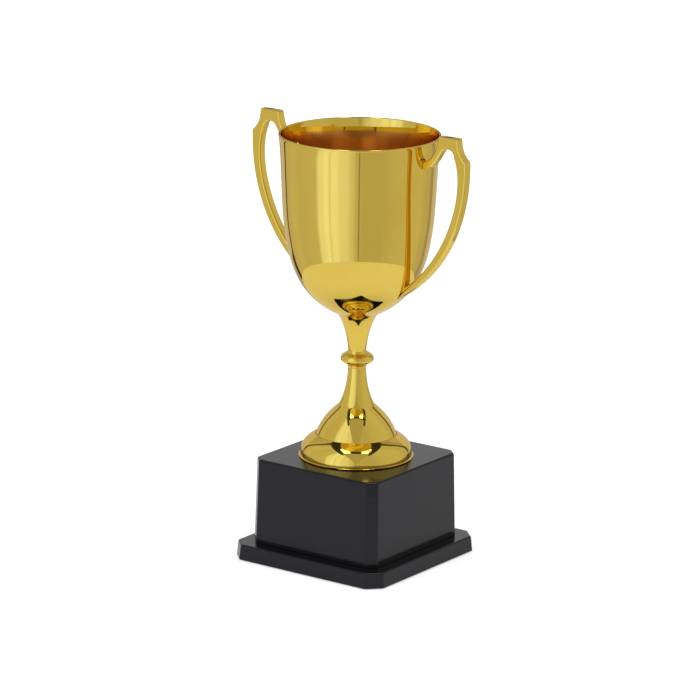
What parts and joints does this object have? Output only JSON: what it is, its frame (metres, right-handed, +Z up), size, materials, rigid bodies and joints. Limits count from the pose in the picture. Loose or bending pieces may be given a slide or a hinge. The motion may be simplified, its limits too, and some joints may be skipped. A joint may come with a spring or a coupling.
{
  "type": "cup trophy",
  "caption": "Two-handled gold cup on a turned stem and domed foot, clamped by a central rod to a stepped black hollow plinth.",
  "frame": {"origin": "middle of the plinth's footprint, on the surface it stands on", "axes": "+Z up along the stem; the handles lie along X; the plinth's nameplate face looks along -Y"},
  "size_m": [0.1284, 0.09, 0.2198],
  "materials": {
    "gold_bowl": "moulded plastic, vacuum-metallised and gold lacquered, mirror bright",
    "gold_trim": "moulded plastic, vacuum-metallised and gold lacquered, mirror bright",
    "plinth_black": "gloss black moulded plastic",
    "cover_black": "fine textured black sheet",
    "cast_weight": "rough cast cement",
    "foot_rubber": "matt rubber",
    "zinc_steel": "bright zinc plated"
  },
  "bodies": {
    "plinth": {"plinth_box": "plinth_black", "foot_plate": "plinth_black", "ballast_block": "cast_weight", "box_screws": "zinc_steel", "bottom_cover": "cover_black", "cover_screws": "zinc_steel", "rubber_feet": "foot_rubber"},
    "cup": {"bowl": "gold_bowl", "handle_left": "gold_trim", "handle_right": "gold_trim", "stem_flare": "gold_trim", "knop": "gold_trim", "lower_stem": "gold_trim", "foot_dome": "gold_trim", "tie_rod": "zinc_steel", "bowl_nut": "zinc_steel", "bowl_washer": "zinc_steel", "clamp_washer": "zinc_steel", "lock_washer": "zinc_steel", "plinth_nut": "zinc_steel"}
  },
  "joints": [
    {"name": "cup_swivel", "type": "hinge", "parent": "plinth", "child": "cup", "pos_m": [0, 0, 0.0515], "axis": [0, 0, 1], "continuous": true}
  ]
}
